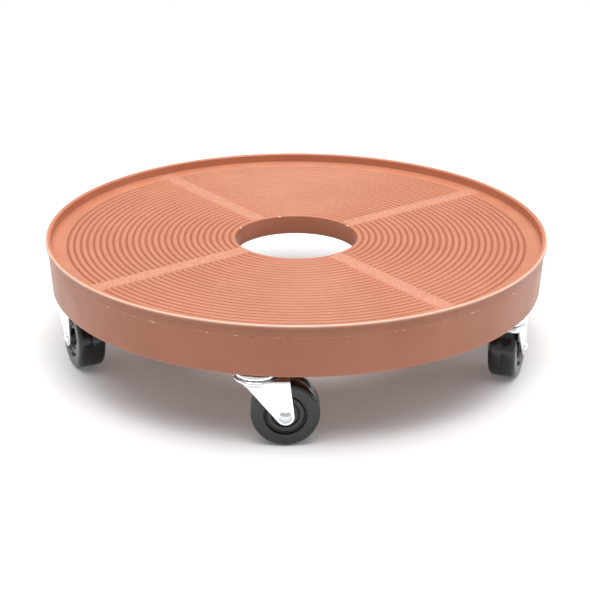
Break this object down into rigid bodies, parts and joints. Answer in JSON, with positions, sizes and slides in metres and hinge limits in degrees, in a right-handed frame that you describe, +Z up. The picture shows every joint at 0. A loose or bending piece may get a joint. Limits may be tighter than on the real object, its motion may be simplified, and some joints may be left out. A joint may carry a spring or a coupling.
{
  "type": "plant pot caddy",
  "caption": "Round moulded pot dolly with a raised rim, ring-grooved tray, central hole and swivel casters with steel forks and hard rubber wheels.",
  "frame": {"origin": "centre of the deck, on the floor under the wheels", "axes": "+Z up; -Y towards the front caster, +X to the right as seen from the front"},
  "size_m": [0.4064, 0.4064, 0.1016],
  "materials": {
    "terracotta_plastic": "satin moulded polypropylene",
    "bright_zinc": "bright plated pressed steel",
    "plated_steel": "plated turned steel",
    "spring_steel": "blued spring steel",
    "ball_steel": "polished ball steel, greased",
    "hard_rubber": "hard moulded rubber, satin"
  },
  "bodies": {
    "deck": {"deck": "terracotta_plastic", "stem_front": "plated_steel", "grip_ring_front": "spring_steel", "upper_race_front": "bright_zinc", "lower_race_front": "plated_steel", "stem_right": "plated_steel", "grip_ring_right": "spring_steel", "upper_race_right": "bright_zinc", "lower_race_right": "plated_steel", "stem_rear_right": "plated_steel", "grip_ring_rear_right": "spring_steel", "upper_race_rear_right": "bright_zinc", "lower_race_rear_right": "plated_steel", "stem_rear_left": "plated_steel", "grip_ring_rear_left": "spring_steel", "upper_race_rear_left": "bright_zinc", "lower_race_rear_left": "plated_steel", "stem_left": "plated_steel", "grip_ring_left": "spring_steel", "upper_race_left": "bright_zinc", "lower_race_left": "plated_steel"},
    "fork_front": {"fork_front": "bright_zinc", "upper_balls_front": "ball_steel", "lower_balls_front": "ball_steel", "axle_front": "bright_zinc"},
    "wheel_front": {"wheel_front": "hard_rubber"},
    "fork_right": {"fork_right": "bright_zinc", "upper_balls_right": "ball_steel", "lower_balls_right": "ball_steel", "axle_right": "bright_zinc"},
    "wheel_right": {"wheel_right": "hard_rubber"},
    "fork_rear_right": {"fork_rear_right": "bright_zinc", "upper_balls_rear_right": "ball_steel", "lower_balls_rear_right": "ball_steel", "axle_rear_right": "bright_zinc"},
    "wheel_rear_right": {"wheel_rear_right": "hard_rubber"},
    "fork_rear_left": {"fork_rear_left": "bright_zinc", "upper_balls_rear_left": "ball_steel", "lower_balls_rear_left": "ball_steel", "axle_rear_left": "bright_zinc"},
    "wheel_rear_left": {"wheel_rear_left": "hard_rubber"},
    "fork_left": {"fork_left": "bright_zinc", "upper_balls_left": "ball_steel", "lower_balls_left": "ball_steel", "axle_left": "bright_zinc"},
    "wheel_left": {"wheel_left": "hard_rubber"}
  },
  "joints": [
    {"name": "swivel_front", "type": "hinge", "parent": "deck", "child": "fork_front", "pos_m": [-0.02847, -0.17976, 0.0575], "axis": [0, 0, 1], "continuous": true},
    {"name": "roll_front", "type": "hinge", "parent": "fork_front", "child": "wheel_front", "pos_m": [-0.00771, -0.1794, 0.0254], "axis": [-0.0175, 0.9998, 0], "continuous": true},
    {"name": "swivel_right", "type": "hinge", "parent": "deck", "child": "fork_right", "pos_m": [0.16216, -0.08263, 0.0575], "axis": [0, 0, 1], "continuous": true},
    {"name": "roll_right", "type": "hinge", "parent": "fork_right", "child": "wheel_right", "pos_m": [0.16892, -0.063, 0.0254], "axis": [-0.9455, 0.3256, 0], "continuous": true},
    {"name": "swivel_rear_right", "type": "hinge", "parent": "deck", "child": "fork_rear_right", "pos_m": [0.12869, 0.12869, 0.0575], "axis": [0, 0, 1], "continuous": true},
    {"name": "roll_rear_right", "type": "hinge", "parent": "fork_rear_right", "child": "wheel_rear_right", "pos_m": [0.11279, 0.14204, 0.0254], "axis": [-0.6428, -0.766, 0], "continuous": true},
    {"name": "swivel_rear_left", "type": "hinge", "parent": "deck", "child": "fork_rear_left", "pos_m": [-0.08263, 0.16216, 0.0575], "axis": [0, 0, 1], "continuous": true},
    {"name": "roll_rear_left", "type": "hinge", "parent": "fork_rear_left", "child": "wheel_rear_left", "pos_m": [-0.10144, 0.15339, 0.0254], "axis": [0.4226, -0.9063, 0], "continuous": true},
    {"name": "swivel_left", "type": "hinge", "parent": "deck", "child": "fork_left", "pos_m": [-0.17976, -0.02847, 0.0575], "axis": [0, 0, 1], "continuous": true},
    {"name": "roll_left", "type": "hinge", "parent": "fork_left", "child": "wheel_left", "pos_m": [-0.17132, -0.04744, 0.0254], "axis": [0.9135, 0.4067, 0], "continuous": true}
  ]
}
